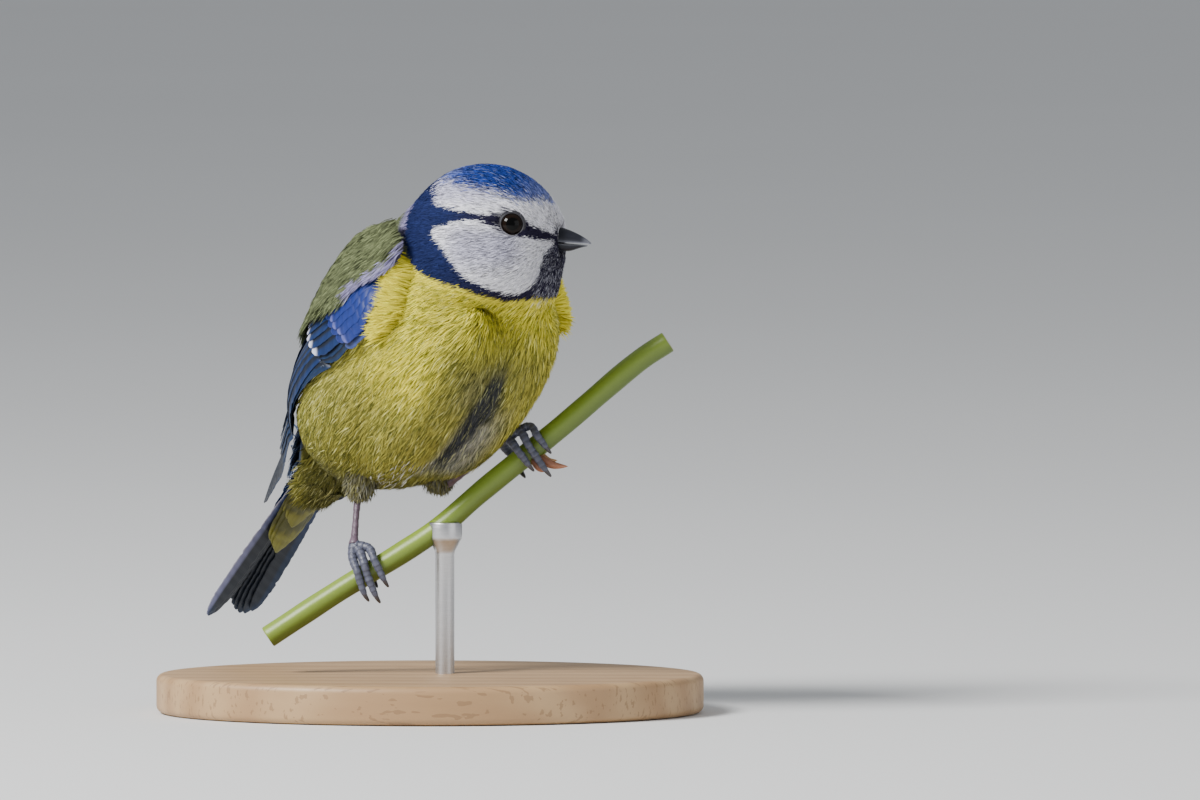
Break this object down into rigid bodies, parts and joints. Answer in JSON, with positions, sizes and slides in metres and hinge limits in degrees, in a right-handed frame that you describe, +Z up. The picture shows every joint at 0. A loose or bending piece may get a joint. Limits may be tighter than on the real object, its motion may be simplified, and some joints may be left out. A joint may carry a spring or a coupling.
{
  "type": "blue tit",
  "caption": "Small perching songbird with a blue cap and yellow breast, still and life-size, gripping a short cut stem held by a plain stand.",
  "frame": {"origin": "middle of the stand's underside, on the floor", "axes": "+Z up, +X along the stem towards its rising end, the bird's head turned towards +X and its tail hanging towards -X and +Y"},
  "size_m": [0.092, 0.0879, 0.0925],
  "materials": {
    "plumage_yellow": "soft feathers",
    "plumage_dark": "soft feathers",
    "plumage_white": "soft feathers",
    "plumage_blue": "smooth vanes",
    "bill": "smooth horn",
    "eye": "wet gloss",
    "scaled_leg": "fine scales",
    "claw": "smooth horn",
    "green_stem": "smooth green bark",
    "stand_wood": "oiled",
    "stand_metal": "brushed"
  },
  "bodies": {
    "root": {"torso": "plumage_yellow", "neck": "plumage_dark", "head": "plumage_white", "bill_upper": "bill", "bill_lower": "bill", "eye_left": "eye", "eye_right": "eye", "tail": "plumage_blue", "wing_left": "plumage_blue", "wing_right": "plumage_blue", "thigh_left": "plumage_yellow", "tarsus_left": "scaled_leg", "toe_outer_left": "scaled_leg", "claw_outer_left": "claw", "toe_middle_left": "scaled_leg", "claw_middle_left": "claw", "toe_inner_left": "scaled_leg", "claw_inner_left": "claw", "toe_back_left": "scaled_leg", "claw_back_left": "claw", "thigh_right": "plumage_yellow", "tarsus_right": "scaled_leg", "toe_outer_right": "scaled_leg", "claw_outer_right": "claw", "toe_middle_right": "scaled_leg", "claw_middle_right": "claw", "toe_inner_right": "scaled_leg", "claw_inner_right": "claw", "toe_back_right": "scaled_leg", "claw_back_right": "claw", "stem": "green_stem", "stand_base": "stand_wood", "stand_rod": "stand_metal"}
  },
  "joints": []
}
